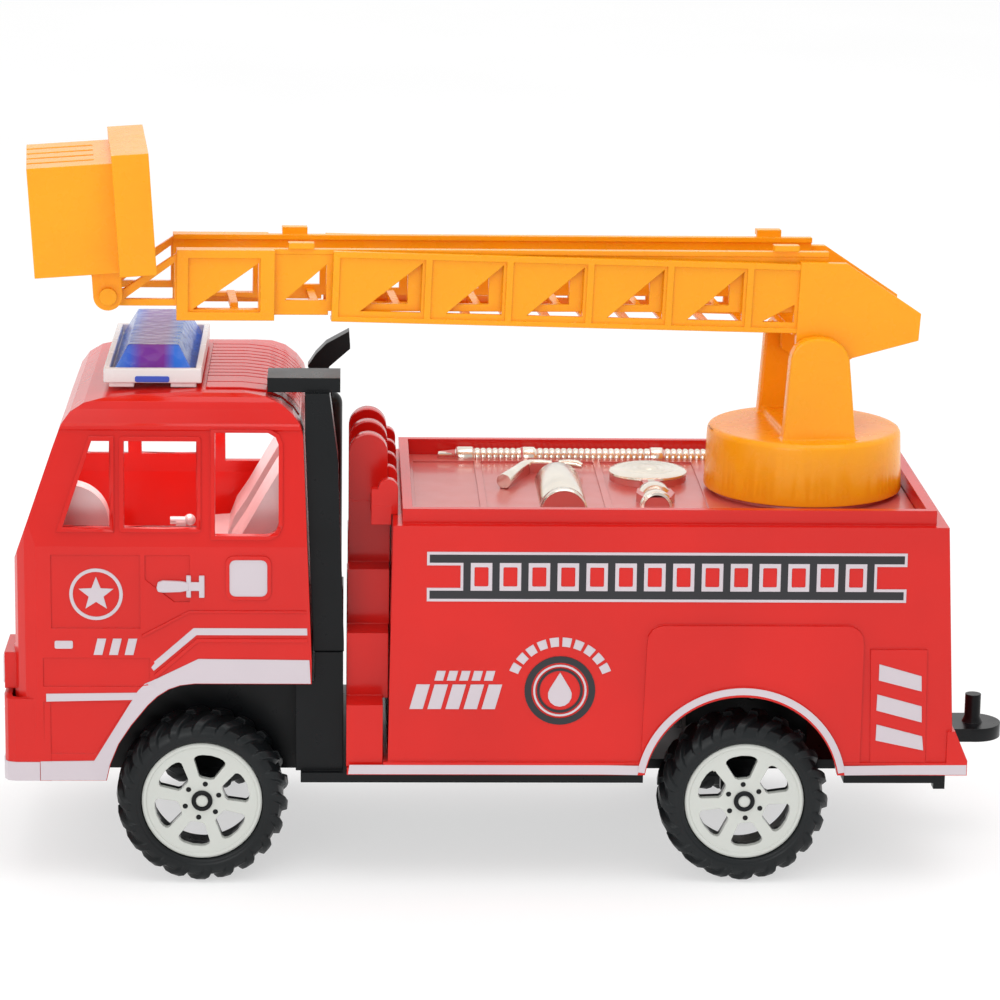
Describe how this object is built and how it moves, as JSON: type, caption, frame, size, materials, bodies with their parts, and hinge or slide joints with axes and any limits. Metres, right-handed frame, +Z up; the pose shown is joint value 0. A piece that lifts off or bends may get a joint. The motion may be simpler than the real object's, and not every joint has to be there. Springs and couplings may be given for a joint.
{
  "type": "toy fire engine",
  "caption": "Plastic toy ladder fire engine: free-rolling wheels, turning turntable, lifting boom with sliding ladder and tilting rescue basket.",
  "frame": {"origin": "middle of the overall box at ground level under the wheels", "axes": "+X from the front bumper to the tow hitch, +Y to the far side, +Z up"},
  "size_m": [0.3092, 0.1092, 0.2204],
  "materials": {
    "gloss_red": "gloss",
    "gloss_orange": "gloss",
    "black_plastic": "satin",
    "steel": "satin",
    "silver_plated": "metallic gloss",
    "white_plastic": "gloss",
    "blue_plastic": "gloss",
    "clear_plastic": "clear gloss",
    "tyre": "matte",
    "silver_trim": "metallic gloss",
    "gear_plastic": "satin",
    "zinc": "satin",
    "motor_plastic": "satin"
  },
  "bodies": {
    "truck": {"chassis": "black_plastic", "chassis_screws": "steel", "cab_shell": "gloss_red", "seat_tray": "silver_plated", "dashboard": "silver_plated", "light_bar_tray": "white_plastic", "light_bar_reflector": "blue_plastic", "light_bar_lens": "clear_plastic", "headlight_near": "white_plastic", "headlight_far": "white_plastic", "air_intake": "black_plastic", "exhaust_stack": "black_plastic", "rear_body": "gloss_red", "deck_moulding": "gloss_red", "step_moulding": "gloss_red", "motor_housing": "motor_plastic", "motor_cover": "motor_plastic"},
    "front_wheels": {"front_axle": "steel", "front_tyre_near": "tyre", "front_tyre_far": "tyre", "front_wheel_near_core": "black_plastic", "front_wheel_near_trim": "silver_trim", "front_wheel_far_core": "black_plastic", "front_wheel_far_trim": "silver_trim"},
    "rear_wheels": {"rear_axle": "steel", "rear_tyre_near": "tyre", "rear_tyre_far": "tyre", "rear_wheel_near_core": "black_plastic", "rear_wheel_near_trim": "silver_trim", "rear_wheel_far_core": "black_plastic", "rear_wheel_far_trim": "silver_trim", "axle_gear": "gear_plastic"},
    "idler": {"idler_gear": "gear_plastic"},
    "flywheel_set": {"flywheel": "zinc"},
    "turret": {"turntable": "gloss_orange", "turntable_washer": "steel", "turntable_screw": "steel"},
    "boom_arm": {"boom": "gloss_orange"},
    "ladder": {"sliding_ladder": "gloss_orange"},
    "basket_cage": {"basket": "gloss_orange", "basket_pin": "gloss_orange"}
  },
  "joints": [
    {"name": "front_axle_spin", "type": "hinge", "parent": "truck", "child": "front_wheels", "pos_m": [-0.095, 0, 0.0258], "axis": [0, 1, 0], "continuous": true},
    {"name": "rear_axle_spin", "type": "hinge", "parent": "truck", "child": "rear_wheels", "pos_m": [0.0684, 0, 0.0258], "axis": [0, 1, 0], "continuous": true},
    {"name": "idler_spin", "type": "hinge", "parent": "truck", "child": "idler", "pos_m": [0.0684, 0, 0.0362], "axis": [0, 1, 0], "continuous": true},
    {"name": "flywheel_spin", "type": "hinge", "parent": "truck", "child": "flywheel_set", "pos_m": [0.0744, 0, 0.04659], "axis": [0, 1, 0], "continuous": true},
    {"name": "turntable_turn", "type": "hinge", "parent": "truck", "child": "turret", "pos_m": [0.0892, 0, 0.12], "axis": [0, 0, 1], "continuous": true},
    {"name": "boom_lift", "type": "hinge", "parent": "turret", "child": "boom_arm", "pos_m": [0.0892, 0, 0.1553], "axis": [-0.0802, 0.9968, 0], "range_deg": [-2, 55]},
    {"name": "ladder_slide", "type": "slide", "parent": "boom_arm", "child": "ladder", "axis": [-0.9962, -0.0801, 0.0349], "range_m": [-0.0155, 0.075]},
    {"name": "basket_tilt", "type": "hinge", "parent": "ladder", "child": "basket_cage", "pos_m": [-0.12417, -0.01717, 0.17662], "axis": [0.0802, -0.9968, 0], "range_deg": [0, 80]}
  ],
  "couplings": [
    {"joint": "idler_spin", "follows": "rear_axle_spin", "ratio": -1.6},
    {"joint": "flywheel_spin", "follows": "rear_axle_spin", "ratio": 3.2}
  ]
}
